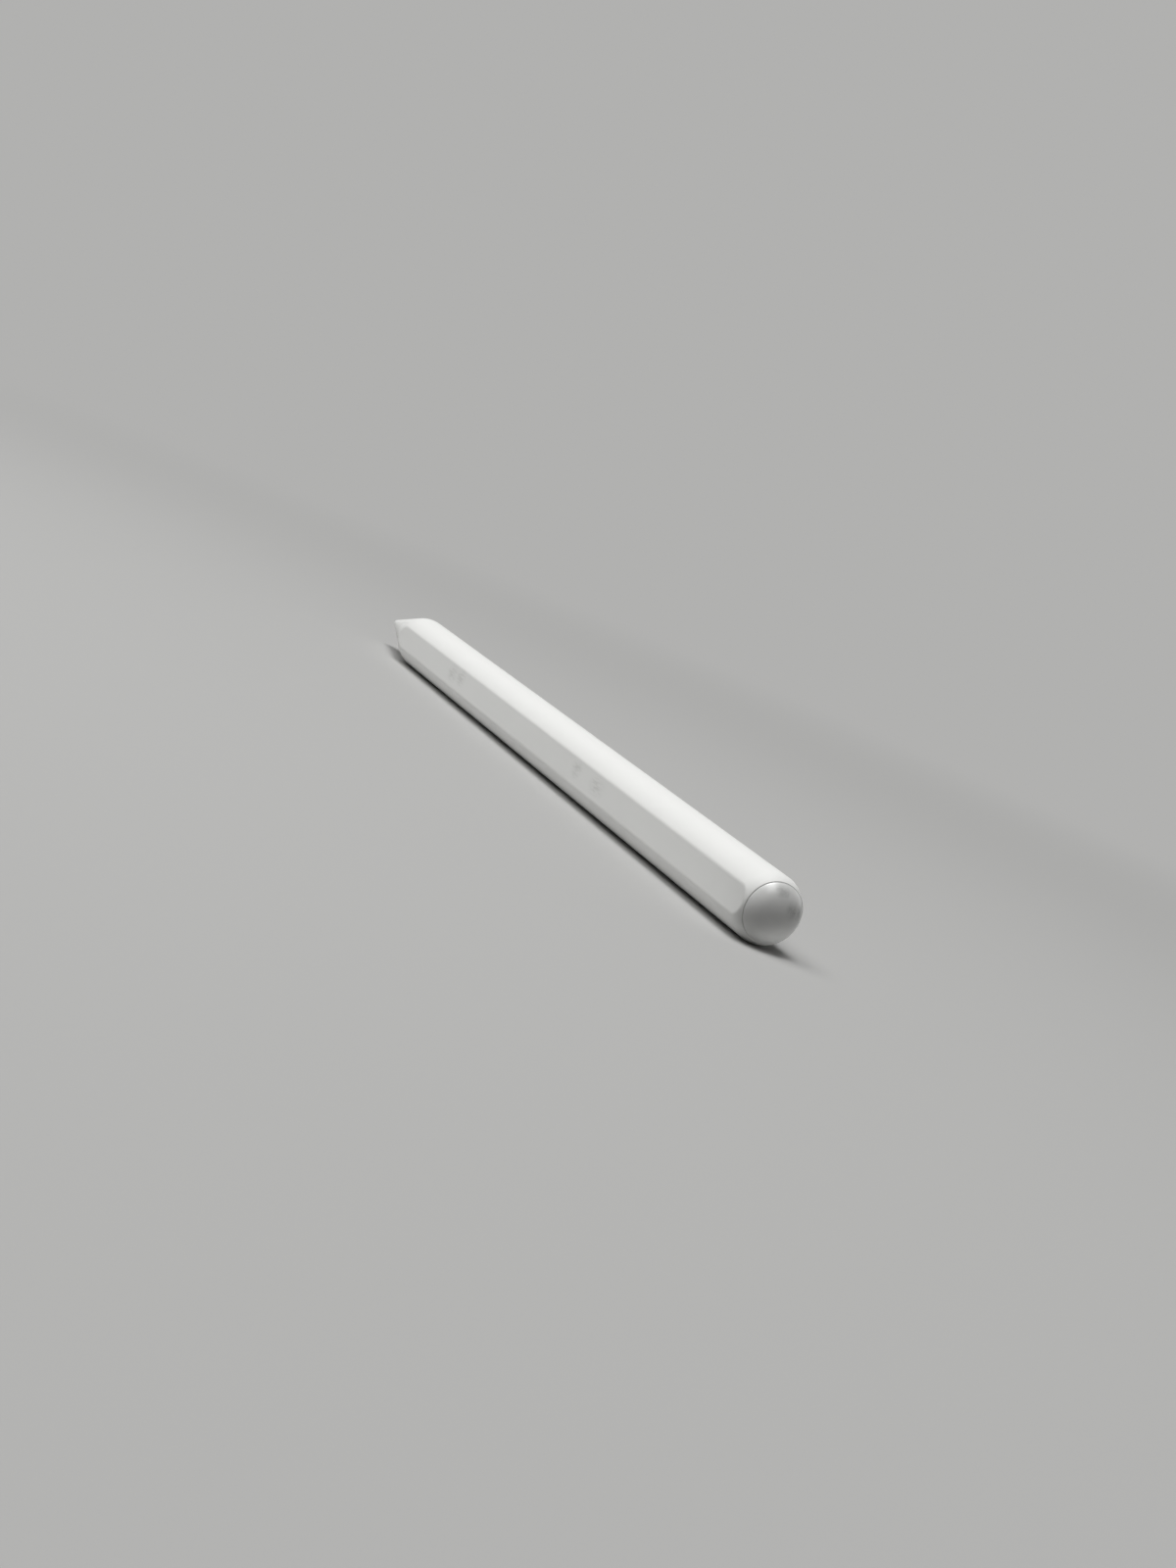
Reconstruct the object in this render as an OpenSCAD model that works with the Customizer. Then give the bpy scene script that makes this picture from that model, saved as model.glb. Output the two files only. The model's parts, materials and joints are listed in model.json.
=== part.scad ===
// Tablet stylus with a screw-on nib, a long flat for magnetic charging and a domed end cap.
// It lies along X with its point at -X, its round belly on z = 0 and its flat towards -Y.

/* [Pen body] */
// Overall length from the point to the rear pole
pen_len = 166; // [158:1:180]
// Diameter of the round barrel
pen_d = 8.9; // [8.6:0.1:9.6]
// Depth of the long flat below the round of the barrel
flat_depth = 0.41; // [0.34:0.01:0.6]
// Wall of the barrel, also behind the flat
wall = 1.1; // [0.95:0.05:1.2]
// Gap between the bore and what slides into it
bore_gap = 0.1; // [0.06:0.01:0.14]

/* [Nose and nib] */
// Half angle of the tapered nose in degrees
nose_angle = 12.75; // [11.5:0.25:14]
// Radius of the rounded point
point_r = 0.6; // [0.45:0.05:0.75]
// Radius that blends the taper into the barrel
nose_blend_r = 12.5; // [8:0.5:16]
// Wall of the tapered nose
nose_wall = 0.9; // [0.8:0.05:1]
// Length of the nib from the point to its rear face
nib_len = 10.65; // [10:0.05:11.4]
// Travel of the tip when it is pressed
press_travel = 0.2; // [0.1:0.05:0.3]
// Gap that stays between nib and barrel when the tip is fully pressed
press_reserve = 0.15; // [0.1:0.05:0.3]
// Solid nib ahead of the electrode
nib_skin = 1.5; // [1.3:0.1:2]
// Radius of the electrode rod in the nib
electrode_r = 0.45; // [0.3:0.05:0.5]
// Radius of the electrode's head
electrode_head_r = 1.2; // [0.9:0.05:1.3]
// Thickness of the electrode's head
electrode_head_t = 0.3; // [0.2:0.05:0.5]
// Gap round a piece that turns or slides in another
running_gap = 0.05; // [0.03:0.01:0.08]
// Gap round a moulded-in or pressed-in piece
moulded_gap = 0.02; // [0.01:0.01:0.03]

/* [Nib thread] */
// Crest radius of the thread on the tip post
thread_r = 0.95; // [0.85:0.05:1.05]
// Depth of the thread
thread_depth = 0.2; // [0.12:0.02:0.24]
// Pitch of the thread
thread_pitch = 0.5; // [0.4:0.05:0.6]
// Length of the thread on the tip post
thread_len = 3.1; // [2.6:0.1:3.4]
// Radial gap between the two threads
thread_gap = 0.05; // [0.03:0.01:0.08]
// Room between the end of the tip post and the electrode
thread_end_room = 0.3; // [0.2:0.05:0.6]
// Outer radius of the threaded insert
insert_r = 1.5; // [1.35:0.05:1.55]
// Radius of the insert's rear flange
insert_flange_r = 2.2; // [1.8:0.05:2.3]
// Thickness of the insert's rear flange
insert_flange_t = 0.6; // [0.4:0.1:1]
// Distance that the insert stands proud of the nib's rear face
insert_proud = 0.1; // [0.05:0.01:0.12]
// Gap between the insert and the tip post's flange
seat_gap = 0.05; // [0.03:0.01:0.1]

/* [Tip post] */
// Radius of the tip post's flange
flange_r = 1.6; // [1.3:0.05:1.75]
// Thickness of the tip post's flange
flange_t = 1; // [0.8:0.1:1.4]
// Gap between the flange and the mouth of the barrel
mouth_gap = 0.15; // [0.1:0.01:0.2]
// Gap that stays between the flange and the guide bush when the tip is fully pressed
flange_reserve = 0.4; // [0.2:0.05:0.6]
// Radius of the tip post's shaft
shaft_r = 1; // [0.8:0.05:1.1]
// Length of the guide bush that carries the shaft
guide_len = 3.1; // [2.4:0.1:3.4]
// Straight land of the guide bush behind the taper
bush_land = 0.8; // [0.6:0.1:1.2]
// Outer radius of the retaining collar on the shaft
collar_r = 1.7; // [1.4:0.05:1.9]
// Thickness of the retaining collar
collar_t = 0.7; // [0.5:0.1:1]
// Radius of the room for the collar inside the guide bush
collar_room_r = 2.2; // [2:0.05:2.4]
// Width of the ring electrode on the guide bush
ring_w = 1.2; // [0.8:0.1:1.6]
// Distance from the front of the guide bush to the ring electrode
ring_setback = 0.8; // [0.5:0.1:1]
// Depth of the ring electrode's groove
ring_depth = 0.4; // [0.2:0.05:0.5]

/* [Force cell] */
// Distance that the tip post reaches into the force cell
post_reach = 1.5; // [1.2:0.1:2]
// Gap between the tip post and the flexure at rest
touch_gap = 0.02; // [0.01:0.01:0.04]
// Thickness of the flexure
flexure_t = 0.2; // [0.15:0.05:0.3]
// Thinnest wall of the force cell, on its flat side
cell_wall = 0.35; // [0.25:0.05:0.45]
// Radial width of the ring that clamps the flexure
clamp_w = 0.5; // [0.3:0.05:0.6]
// Depth of the chamber behind the flexure
chamber_depth = 1.6; // [1.2:0.1:2.2]
// Thickness of the force sensor plate
sensor_t = 0.5; // [0.3:0.1:0.7]
// Thickness of the rear wall of the force cell
cell_floor = 1.2; // [0.8:0.1:2]

/* [Chassis] */
// Wall of the chassis channel
chassis_wall = 0.25; // [0.2:0.05:0.3]
// Thickness of the steel floor of the chassis
floor_t = 0.6; // [0.5:0.05:0.7]
// Thickness of each bulkhead
bulkhead_t = 1; // [0.8:0.1:1.5]
// Half width of the flex slot in the bulkheads
slot_half_w = 0.9; // [0.85:0.05:1.1]
// Height of the channel's side walls above its floor
rail_h = 1; // [0.6:0.1:1.6]

/* [Board] */
// Length of the main board
board_len = 62; // [54:1:64]
// Thickness of the main board
board_t = 0.6; // [0.4:0.1:0.8]
// Height of the posts that carry the main board
board_post_h = 1.9; // [1.6:0.1:2.1]
// Width of each board post
board_post_w = 0.8; // [0.6:0.1:1]
// Gap between the board's edges and the chassis
board_gap = 0.06; // [0.04:0.01:0.1]
// Gap between the board's ends and the bulkheads
board_end_gap = 0.5; // [0.3:0.1:1]
// Height of the chips
chip_h = 0.7; // [0.4:0.1:0.9]
// Half width of the chips
chip_half_w = 1.5; // [1:0.1:1.6]
// Length of the processor chip
processor_len = 6; // [4:0.5:8]
// Length of the radio chip
radio_len = 5; // [3:0.5:6]
// Length of each small chip
small_chip_len = 3.5; // [2:0.5:4]
// Length of the shield can
shield_len = 30; // [20:1:36]
// Height of the shield can
shield_h = 1.1; // [0.8:0.1:1.2]
// Half width of the shield can
shield_half_w = 2.1; // [1.6:0.1:2.2]
// Wall of the shield can
shield_wall = 0.15; // [0.1:0.05:0.2]
// Length of each flex connector
connector_len = 2; // [1.5:0.1:2.5]
// Height of each flex connector
connector_h = 0.7; // [0.6:0.05:0.9]
// Half width of each flex connector
connector_half_w = 1.2; // [0.9:0.1:1.4]

/* [Flex ribbons] */
// Thickness of the flex ribbons
flex_t = 0.1; // [0.08:0.02:0.14]
// Half width of the flex ribbons
flex_half_w = 0.6; // [0.4:0.05:0.7]
// Gap between a flex ribbon and what it passes
flex_gap = 0.05; // [0.03:0.01:0.08]

/* [Charging and magnets] */
// Gap between the charging coil and the inside of the flat
coil_gap = 0.05; // [0.03:0.01:0.08]
// Gap beside the charging coil and magnets
coil_side_gap = 0.15; // [0.1:0.01:0.2]
// Length of the charging coil
coil_len = 24; // [18:1:26]
// Thickness of the charging coil
coil_t = 0.6; // [0.5:0.05:0.7]
// Width of the coil's winding
coil_band = 0.9; // [0.6:0.05:1]
// Thickness of the ferrite plate
ferrite_t = 0.3; // [0.25:0.05:0.4]
// Number of magnets on each side of the coil
magnet_count = 5; // [2:1:5]
// Length of each magnet
magnet_len = 3.6; // [2.5:0.1:4]
// Gap between magnets
magnet_gap = 0.4; // [0.2:0.1:0.8]
// Gap between the coil and the magnets on each side of it
magnet_setback = 2; // [1:0.5:3]
// Gap between the squeeze sensor pads and the first magnet
magnet_clear = 5.3; // [2:0.1:7]
// Thickness of the steel yoke behind the magnets
yoke_t = 0.3; // [0.2:0.05:0.4]

/* [Squeeze sensing] */
// Length of each squeeze sensor pad
pad_len = 8; // [5:0.5:9]
// Half width of each squeeze sensor pad
pad_half_w = 1.2; // [0.8:0.1:1.3]
// Thickness of each squeeze sensor pad
pad_t = 0.3; // [0.2:0.05:0.4]
// Gap between the two squeeze sensor pads
pad_spacing = 2; // [1:0.5:3]
// Distance from the chassis front to the first pad
pad_setback = 4; // [3:0.5:6]

/* [Battery] */
// Thickness of the insulator at each end of the cell
insulator_t = 0.4; // [0.2:0.1:0.8]
// Gap under the cell
cell_gap = 0.03; // [0.02:0.01:0.05]

/* [Haptic unit] */
// Length of the haptic unit
haptic_len = 18; // [16:0.5:20]
// Travel of the haptic mass to each side
haptic_travel = 0.35; // [0.2:0.05:0.5]
// Gap that stays between the mass and the coil at full travel
haptic_reserve = 0.3; // [0.2:0.05:0.5]
// Thickness of the end walls of the haptic unit
haptic_wall = 0.6; // [0.4:0.1:1]
// Wall between the haptic bore and the ribbon groove
haptic_web = 0.2; // [0.15:0.05:0.3]
// Depth of the seat behind each haptic spring
spring_seat = 0.7; // [0.6:0.1:1]
// Width of the rim that holds each haptic spring
spring_rim = 0.25; // [0.15:0.05:0.35]
// Thickness of each haptic spring
spring_t = 0.15; // [0.1:0.05:0.2]
// Length of the haptic coil
haptic_coil_len = 5; // [3:0.5:6]
// Radial thickness of the haptic coil
haptic_coil_wall = 0.45; // [0.3:0.05:0.6]
// Gap round the moving mass and magnets
haptic_gap = 0.2; // [0.15:0.05:0.3]
// Radius of the stub that joins the mass to each spring
stub_r = 0.6; // [0.4:0.05:0.7]

/* [Rear end] */
// Radius of the rounded rear shoulder
corner_r = 3.5; // [3.2:0.1:3.8]
// Radius of the crown of the end cap
crown_r = 6.5; // [5.5:0.1:9]
// Height of the end cap behind its seam
cap_h = 1.6; // [1.45:0.05:1.75]
// Width of the seam between barrel and end cap
seam_gap = 0.08; // [0.04:0.01:0.1]
// Length of the end cap's spigot
spigot_len = 2.2; // [1.6:0.1:3]
// Gap round the end cap's spigot
spigot_gap = 0.04; // [0.02:0.01:0.06]
// Length of the antenna carrier
carrier_len = 10; // [9:0.5:12]
// Radius of the hollow in the antenna carrier
carrier_bore_r = 1.8; // [1:0.1:2]
// Thickness of the antenna
antenna_t = 0.15; // [0.1:0.05:0.2]
// Length of the antenna
antenna_len = 6.5; // [5:0.5:7]
// Half width of the antenna
antenna_half_w = 0.9; // [0.7:0.05:1]
// Width of the slots in the antenna
antenna_slot = 0.4; // [0.3:0.05:0.5]

/* [Hidden] */
$fn = 96;

// Overrun of a cutting shape, and depth to which joined shapes sink into each other
overrun = 0.5;
sink = 0.1;
// Points on each rounded stretch of a turned outline, and the radius below which one lies on the axis
arc_steps = 14;
axis_r = 0.001;
// Sides of the thread, and where its root and crest lie within one pitch
thread_sides = 20;
root_end = 0.34;
crest_start = 0.5;
crest_end = 0.84;
// Widening of the cut thread on each flank, as a fraction of the pitch
flank_widen = 0.06;
// Turns of thread ahead of the tip post and behind it, which are cut away again
lead_turns = 2;
tail_turns = 3;
// Arms of a spring disc, the angle of each slot and the slot's radial width
spring_arms = 3;
spring_slot_angle = 95;
spring_slot_w = 0.2;
// Slots in the antenna, cut from its two edges in turn
antenna_slots = 4;

// Barrel section
pen_r = pen_d / 2;
x_point = -pen_len / 2;
x_pole = pen_len / 2;
bore_r = pen_r - wall;
flat_out = pen_r - flat_depth;
flat_in = flat_out - wall;

// Tapered nose
x_cone = x_point + point_r * (1 - sin(nose_angle));
point_edge_r = point_r * cos(nose_angle);
nose_wall_radial = nose_wall / cos(nose_angle);
blend_edge_r = pen_r - nose_blend_r * (1 - cos(nose_angle));
x_straight = x_cone + (blend_edge_r - point_edge_r) / tan(nose_angle) + nose_blend_r * sin(nose_angle);
x_nib_back = x_point + nib_len;
x_mouth = x_nib_back + press_travel + press_reserve;
mouth_r = flange_r + mouth_gap;
x_post_seat = x_nib_back + insert_proud + seat_gap;
x_flange_back = x_post_seat + flange_t;
x_shoulder = x_flange_back + press_travel + flange_reserve;
x_full_bore = x_cone + (bore_r + nose_wall_radial - point_edge_r) / tan(nose_angle);
x_bush_back = x_full_bore + bush_land;

// Nib and thread
x_post_front = x_post_seat - thread_len;
x_insert_back = x_post_seat - seat_gap;
x_insert_front = x_post_front - thread_end_room;
x_head_front = x_insert_front - electrode_head_t;
x_electrode = x_point + nib_skin;

// Force cell
x_collar = x_shoulder + guide_len + running_gap;
x_post_back = x_bush_back + post_reach;
x_flexure = x_post_back + touch_gap;
x_flexure_back = x_flexure + flexure_t;
x_chamber_back = x_flexure_back + chamber_depth;
x_sensor = x_chamber_back - sensor_t;
x_chassis = x_chamber_back + cell_floor;
flexure_r = flat_in - bore_gap - cell_wall;
clamp_in_r = flexure_r - clamp_w;
ring_in_r = cone_in_r(x_shoulder + ring_setback) - bore_gap - ring_depth;

// Rear end
x_seam = x_pole - cap_h;
x_crown = x_pole - crown_r;
x_corner = x_crown + sqrt(pow(crown_r - corner_r, 2) - pow(pen_r - corner_r, 2));
seam_angle = asin((x_seam - x_corner) / corner_r);
rim_angle = asin((x_seam - seam_gap - x_corner) / corner_r);
crown_angle = atan2(x_corner - x_crown, pen_r - corner_r);
x_spigot = x_seam - spigot_len;
x_carrier = x_spigot - carrier_len;
x_haptic = x_carrier - haptic_len;

// Chassis levels, counted along Y from the inside of the flat
chassis_r = bore_r - bore_gap;
chassis_in_r = chassis_r - chassis_wall;
coil_y = coil_gap - flat_in;
ferrite_y = coil_y + coil_t;
floor_y = ferrite_y + ferrite_t;
floor_top = floor_y + floor_t;
magnet_t = coil_t + ferrite_t - yoke_t;
coil_half_w = half_chord(bore_r, coil_y) - coil_side_gap;
board_y = floor_top + board_post_h;
board_top = board_y + board_t;
rail_top = floor_top + rail_h;
board_half_w = half_chord(chassis_in_r, board_top) - board_gap;
ribbon_top = half_chord(chassis_in_r - flex_gap, flex_half_w);
ribbon_y = ribbon_top - flex_t;
tip_flex_y = board_top + connector_h / 2;

// Places along the chassis
x_board = x_chassis + bulkhead_t + board_end_gap;
x_board_back = x_board + board_len;
x_mid_bulkhead = x_board_back + board_end_gap;
x_battery_bay = x_mid_bulkhead + bulkhead_t;
x_battery_end = x_haptic - bulkhead_t;
battery_r = (ribbon_y - flex_gap - floor_top - cell_gap) / 2;
battery_y = floor_top + cell_gap + battery_r;
x_shield = x_board + (board_len - shield_len) / 2;
x_rear_connector = x_board_back - connector_len;
x_pads = x_chassis + pad_setback;
x_pads_back = x_pads + 2 * pad_len + pad_spacing;
x_riser = x_pads - flex_gap - flex_t;
magnet_row = magnet_count * magnet_len + (magnet_count - 1) * magnet_gap;
x_front_magnets = x_pads_back + magnet_clear;
x_coil = x_front_magnets + magnet_row + magnet_setback;
x_rear_magnets = x_coil + coil_len + magnet_setback;
// Chips in a row, spread evenly between the two connectors
chip_lens = [small_chip_len, small_chip_len, processor_len, radio_len, small_chip_len, small_chip_len];
chip_count = len(chip_lens);
chip_gap = (board_len - 2 * connector_len - sum_of_first(chip_lens, chip_count)) / (chip_count + 1);

// Haptic unit
groove_y = ribbon_y - flex_gap;
groove_half_w = flex_half_w + flex_gap;
haptic_bore_r = groove_y - haptic_web;
haptic_coil_r = haptic_bore_r - moulded_gap;
haptic_coil_in_r = haptic_coil_r - haptic_coil_wall;
haptic_magnet_r = haptic_coil_in_r - haptic_gap;
weight_r = haptic_bore_r - haptic_gap;
spring_r = haptic_bore_r - moulded_gap;
seat_in_r = spring_r - spring_rim;
weight_clear = haptic_travel + haptic_reserve;
x_haptic_mid = x_haptic + haptic_len / 2;
x_cover = x_carrier - haptic_wall;
haptic_magnet_len = haptic_coil_len + 2 * weight_clear;
stub_len = weight_clear;
x_front_spring = x_haptic + haptic_wall + spring_seat;
x_rear_spring = x_cover - spring_seat - spring_t;
weight_len = x_haptic_mid - haptic_magnet_len / 2 - x_front_spring - spring_t - touch_gap - stub_len;
spring_slot_r = (stub_r + seat_in_r) / 2;

// Antenna
x_antenna = x_spigot - antenna_len - overrun;

// Half width of a circle of radius r at distance d from its centre
function half_chord(r, d) = sqrt(r * r - d * d);

// Sum of the first n values of a list
function sum_of_first(values, n) = n == 0 ? 0 : values[n - 1] + sum_of_first(values, n - 1);

// Radius of the tapered nose outside and inside at x
function cone_r(x) = point_edge_r + (x - x_cone) * tan(nose_angle);
function cone_in_r(x) = cone_r(x) - nose_wall_radial;

// Points on an arc in the outline plane, where the first value is a radius and the second is x
function arc(centre, r, from, to) = [
    for (i = [0:arc_steps])
        let (a = from + (to - from) * i / arc_steps)
        centre + r * [cos(a), sin(a)]
];

// Solid of revolution about the pen's axis from points of radius and x
module turned(outline) {
    translate([0, 0, pen_r])
        rotate([0, 90, 0])
            rotate_extrude()
                polygon(outline);
}

// Round rod along the pen, its centre at distance y from the axis
module rod(x, len, r, y = 0) {
    translate([x, y, pen_r])
        rotate([0, 90, 0])
            cylinder(h = len, r = r);
}

// Rectangular block along the pen, centred in z on the axis
module block(x, len, y, t, half_w) {
    translate([x, y, pen_r - half_w])
        cube([len, t, 2 * half_w]);
}

// Everything on the inner side of a plane parallel to the flat
module behind_flat(distance) {
    block(x_point - overrun, pen_len + 2 * overrun, -distance, distance + pen_d, pen_d);
}

// Plug that fills the bore, flat included, with a gap all round
module bore_plug(x, len, gap) {
    intersection() {
        rod(x, len, bore_r - gap);
        behind_flat(flat_in - gap);
    }
}

// Screw surface of one right-hand thread about Z, starting at z = 0 with the root
module thread_form(root_r, crest_r, turns, widen) {
    steps = thread_sides * turns;
    phases = [widen, root_end - widen, crest_start - widen, crest_end + widen];
    radii = [root_r, root_r, crest_r, crest_r];
    points = [
        for (s = [0:steps])
            for (m = [0:3])
                let (a = 360 * s / thread_sides)
                [radii[m] * cos(a), radii[m] * sin(a), thread_pitch * (phases[m] + s / thread_sides)]
    ];
    first = len(points);
    last = first + 1;
    ends = [[0, 0, thread_pitch / 2], [0, 0, thread_pitch * (turns + crest_end - 1 / 2)]];
    wall_faces = [
        for (s = [0:steps - 1])
            for (m = [0:2])
                each quad(line(m, s), line(m, s + 1), line(m + 1, s + 1), line(m + 1, s))
    ];
    turn_faces = [
        for (s = [0:steps - thread_sides - 1])
            each quad(line(3, s), line(3, s + 1), line(0, s + thread_sides + 1), line(0, s + thread_sides))
    ];
    start_faces = concat(
        [for (s = [0:thread_sides - 1]) [line(0, s), line(0, s + 1), first]],
        [for (m = [0:2]) [line(m + 1, 0), line(m, 0), first]],
        [[line(0, thread_sides), line(3, 0), first]]
    );
    end_faces = concat(
        [for (s = [steps - thread_sides:steps - 1]) [line(3, s + 1), line(3, s), last]],
        [for (m = [0:2]) [line(m, steps), line(m + 1, steps), last]],
        [[line(3, steps - thread_sides), line(0, steps), last]]
    );
    polyhedron(concat(points, ends), concat(wall_faces, turn_faces, start_faces, end_faces));
}

// Number of a thread point on line m at step s, and the two triangles of a four-sided patch
function line(m, s) = 4 * s + m;
function quad(a, b, c, d) = [[a, d, c], [a, c, b]];

// Thread along the pen that covers the whole post and runs past both its ends
module pen_thread(extra_r, widen) {
    turns = ceil(thread_len / thread_pitch) + lead_turns + tail_turns;
    translate([x_post_front - lead_turns * thread_pitch, 0, pen_r])
        rotate([0, 90, 0])
            thread_form(thread_r - thread_depth + extra_r, thread_r + extra_r, turns, widen);
}

// Outer shell with the flat, the tapered nose and the rounded rear shoulder
module barrel() {
    color("whitesmoke")
        difference() {
            intersection() {
                turned(concat(
                    [[0, x_mouth], [cone_r(x_mouth), x_mouth]],
                    arc([pen_r - nose_blend_r, x_straight], nose_blend_r, -nose_angle, 0),
                    arc([pen_r - corner_r, x_corner], corner_r, 0, rim_angle),
                    [[0, x_seam - seam_gap]]
                ));
                behind_flat(flat_out);
            }
            intersection() {
                turned([
                    [0, x_mouth - overrun],
                    [mouth_r, x_mouth - overrun],
                    [mouth_r, x_shoulder],
                    [cone_in_r(x_shoulder), x_shoulder],
                    [bore_r, x_full_bore],
                    [bore_r, x_seam + overrun],
                    [0, x_seam + overrun]
                ]);
                behind_flat(flat_in);
            }
        }
}

// Domed end cap with a spigot in the bore
module end_cap() {
    color("white")
        intersection() {
            union() {
                turned(concat(
                    [[0, x_seam]],
                    arc([pen_r - corner_r, x_corner], corner_r, seam_angle, crown_angle),
                    [for (p = arc([0, x_crown], crown_r, crown_angle, 90)) if (p[0] > axis_r) p],
                    [[0, x_pole]]
                ));
                bore_plug(x_spigot, spigot_len + sink, spigot_gap);
            }
            behind_flat(flat_out);
        }
}

// Tapered nib with a rounded point, hollow for the insert and the electrode
module nib() {
    color("white")
        difference() {
            turned(concat(
                [[0, x_point]],
                [for (p = arc([0, x_point + point_r], point_r, -90, -nose_angle)) if (p[0] > axis_r) p],
                [[cone_r(x_nib_back), x_nib_back], [0, x_nib_back]]
            ));
            rod(x_electrode - running_gap, nib_len, electrode_r + running_gap);
            rod(x_head_front - running_gap, nib_len, electrode_head_r + running_gap);
            rod(x_insert_front - moulded_gap, nib_len, insert_r + moulded_gap);
            rod(x_insert_back - insert_flange_t - moulded_gap, nib_len, insert_flange_r + moulded_gap);
        }
}

// Flanged insert with the inner thread
module nib_thread_insert() {
    color("goldenrod")
        difference() {
            union() {
                rod(x_insert_front, x_insert_back - x_insert_front, insert_r);
                rod(x_insert_back - insert_flange_t, insert_flange_t, insert_flange_r);
            }
            pen_thread(thread_gap, flank_widen);
        }
}

// Conductive core of the nib
module nib_electrode() {
    color("silver")
        union() {
            rod(x_electrode, x_head_front - x_electrode + sink, electrode_r);
            rod(x_head_front, electrode_head_t - running_gap, electrode_head_r);
        }
}

// Post with the outer thread, a flange and the guided shaft
module tip_post() {
    color("gold")
        union() {
            rod(x_post_seat, flange_t, flange_r);
            rod(x_flange_back - sink, x_post_back - x_flange_back + sink, shaft_r);
            intersection() {
                pen_thread(0, 0);
                rod(x_post_front, thread_len + flange_t / 2, flange_r);
            }
        }
}

// Ring on the shaft that keeps the post in the nose
module post_collar() {
    color("gray")
        difference() {
            rod(x_collar, collar_t, collar_r);
            rod(x_collar - overrun, collar_t + 2 * overrun, shaft_r + moulded_gap);
        }
}

// Outside of the guide bush, parallel to the inside of the nose
module bush_blank() {
    intersection() {
        turned([
            [0, x_shoulder],
            [cone_in_r(x_shoulder) - bore_gap, x_shoulder],
            [chassis_r, x_full_bore],
            [chassis_r, x_bush_back],
            [0, x_bush_back]
        ]);
        behind_flat(flat_in - bore_gap);
    }
}

// Room of the ring electrode in the guide bush, outside the given radius
module ring_room(inner_r) {
    difference() {
        rod(x_shoulder + ring_setback, ring_w, pen_r);
        rod(x_shoulder, ring_setback + ring_w + overrun, inner_r);
    }
}

// Tapered bush that guides the shaft and fills the nose
module guide_bush() {
    color("dimgray")
        difference() {
            bush_blank();
            ring_room(ring_in_r);
            rod(x_shoulder - overrun, guide_len + 2 * overrun, shaft_r + running_gap);
            rod(x_shoulder + guide_len, x_bush_back - x_shoulder, collar_room_r);
        }
}

// Ring electrode that senses tilt
module tilt_electrode() {
    color("silver")
        intersection() {
            bush_blank();
            ring_room(ring_in_r + moulded_gap);
        }
}

// Cup that holds the flexure and the force sensor
module sensor_housing() {
    color("gray")
        difference() {
            bore_plug(x_bush_back, x_chassis - x_bush_back, bore_gap);
            rod(x_bush_back - overrun, x_flexure_back - x_bush_back + overrun, flexure_r + moulded_gap);
            rod(x_bush_back, x_chamber_back - x_bush_back, clamp_in_r);
            block(
                x_sensor, x_chassis - x_sensor + overrun,
                tip_flex_y - flex_gap, flex_t + 2 * flex_gap, flex_half_w + flex_gap
            );
        }
}

// Ring that clamps the rim of the flexure
module flexure_ring() {
    color("silver")
        difference() {
            rod(x_bush_back, x_flexure - x_bush_back, flexure_r);
            rod(x_bush_back - overrun, x_flexure - x_bush_back + 2 * overrun, clamp_in_r);
        }
}

// Disc with arms between its hub and its rim
module spring_disc(x, t, r, slot_r) {
    translate([x, 0, pen_r])
        rotate([0, 90, 0])
            difference() {
                cylinder(h = t, r = r);
                for (i = [0:spring_arms - 1])
                    rotate(360 * i / spring_arms)
                        rotate_extrude(angle = spring_slot_angle)
                            translate([slot_r, -overrun])
                                square([spring_slot_w, t + 2 * overrun]);
            }
}

// Spring disc that the tip post presses
module force_flexure() {
    color("lightgray")
        spring_disc(x_flexure, flexure_t, flexure_r, (shaft_r + clamp_in_r) / 2);
}

// Plate that senses the bending of the flexure
module force_sensor() {
    color("darkgreen")
        rod(x_sensor, sensor_t, clamp_in_r - moulded_gap);
}

// Flat ribbon between the force sensor and the board
module tip_flex() {
    color("darkorange")
        block(x_chamber_back, x_board - x_chamber_back, tip_flex_y, flex_t, flex_half_w);
}

// Wall across the chassis with a slot for the ribbons
module bulkhead(x) {
    difference() {
        intersection() {
            rod(x, bulkhead_t, chassis_r);
            behind_flat(-floor_y);
        }
        block(x - overrun, bulkhead_t + 2 * overrun, board_top, pen_r, slot_half_w);
    }
}

// Two posts under the board at x
module board_posts(x) {
    side = half_chord(chassis_in_r, floor_top) - board_post_w;
    for (s = [-1, 1])
        translate([x, floor_top - sink, pen_r + s * side - board_post_w / 2])
            cube([board_post_w, board_post_h + sink, board_post_w]);
}

// Open steel channel with bulkheads and board posts
module chassis() {
    length = x_haptic - x_chassis;
    color("slategray")
        difference() {
            union() {
                difference() {
                    rod(x_chassis, length, chassis_r);
                    block(x_chassis - overrun, length + 2 * overrun, -pen_r, pen_r + floor_y, pen_r);
                    block(x_chassis - overrun, length + 2 * overrun, rail_top, pen_r, pen_r);
                    intersection() {
                        rod(x_chassis - overrun, length + 2 * overrun, chassis_in_r);
                        behind_flat(-floor_top);
                    }
                }
                bulkhead(x_chassis);
                bulkhead(x_mid_bulkhead);
                bulkhead(x_battery_end);
                board_posts(x_board);
                board_posts(x_board_back - board_post_w);
            }
            block(
                x_riser - flex_gap, flex_t + 2 * flex_gap,
                floor_y - overrun, floor_t + 2 * overrun, flex_half_w + flex_gap
            );
        }
}

// Circuit board on its posts
module main_board() {
    color("darkgreen")
        block(x_board, board_len, board_y, board_t, board_half_w);
}

// Chips on the upper side of the board
module board_chips() {
    color("black")
        for (i = [0:chip_count - 1])
            block(
                x_board + connector_len + sum_of_first(chip_lens, i) + (i + 1) * chip_gap,
                chip_lens[i], board_top, chip_h, chip_half_w
            );
}

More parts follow.
